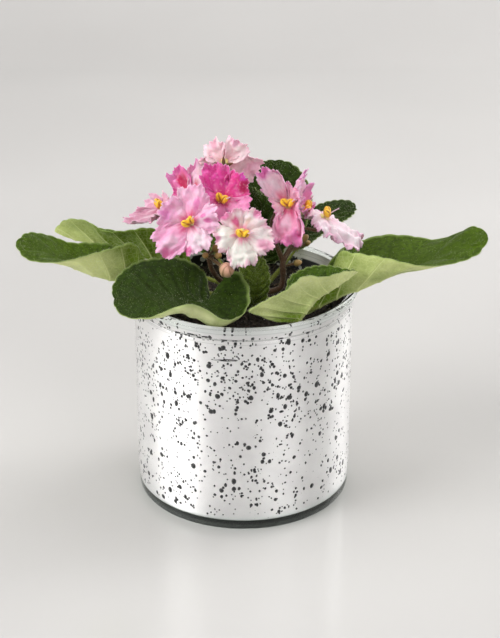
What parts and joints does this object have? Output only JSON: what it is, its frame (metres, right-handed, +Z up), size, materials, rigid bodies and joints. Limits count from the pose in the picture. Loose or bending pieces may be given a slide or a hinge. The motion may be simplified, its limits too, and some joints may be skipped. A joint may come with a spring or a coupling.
{
  "type": "potted african violet",
  "caption": "African violet in bloom with ruffled pink and white flowers, growing in a straight-sided speckled silver glass vase.",
  "frame": {"origin": "centre of the vase's foot, on the surface it stands on", "axes": "+Z up, -Y towards the side with most blooms, +X to that side's right, the way the longest leaf points"},
  "size_m": [0.2268, 0.1295, 0.179],
  "materials": {
    "glass": "clear greenish glass with a speckled silver coating inside",
    "soil": "dark moist potting mix with fine roots and a few white grains",
    "crown": "fleshy yellow-green stem",
    "leaf": "dark green velvety top, pale green underside, fine hairs",
    "stalk": "hairy brown-red stalk",
    "petals_1": "mid pink petals with a frilled edge",
    "petals_2": "bright magenta petals with a frilled edge",
    "petals_3": "cream white with pink petals with a frilled edge",
    "petals_4": "pale pink petals with a frilled edge",
    "petals_5": "rose magenta petals with a frilled edge",
    "petals_6": "dusty mauve pink petals with a frilled edge",
    "petals_7": "soft pink petals with a frilled edge",
    "petals_8": "bright pink petals with a frilled edge",
    "petals_9": "very pale pink petals with a frilled edge",
    "anther": "yellow pollen sacs",
    "bud": "tan-pink bud"
  },
  "bodies": {
    "root": {"vase": "glass", "soil": "soil", "crown": "crown", "leaf_left_spoon": "leaf", "leaf_back_left": "leaf", "leaf_front_left_round": "leaf", "leaf_front_right_folded": "leaf", "leaf_right_spoon": "leaf", "leaf_back_tall": "leaf", "leaf_back_right": "leaf", "leaf_centre_young": "leaf", "leaf_centre_upright": "leaf", "leaf_back_low_left": "leaf", "leaf_back_low_right": "leaf", "flower_stalk_left": "stalk", "flower_stalk_right": "stalk", "corolla_1": "petals_1", "anthers_1": "anther", "corolla_2": "petals_2", "anthers_2": "anther", "corolla_3": "petals_3", "anthers_3": "anther", "corolla_4": "petals_4", "anthers_4": "anther", "corolla_5": "petals_5", "anthers_5": "anther", "corolla_6": "petals_6", "anthers_6": "anther", "corolla_7": "petals_7", "anthers_7": "anther", "corolla_8": "petals_8", "anthers_8": "anther", "corolla_9": "petals_9", "anthers_9": "anther", "bud_opening": "bud"}
  },
  "joints": []
}
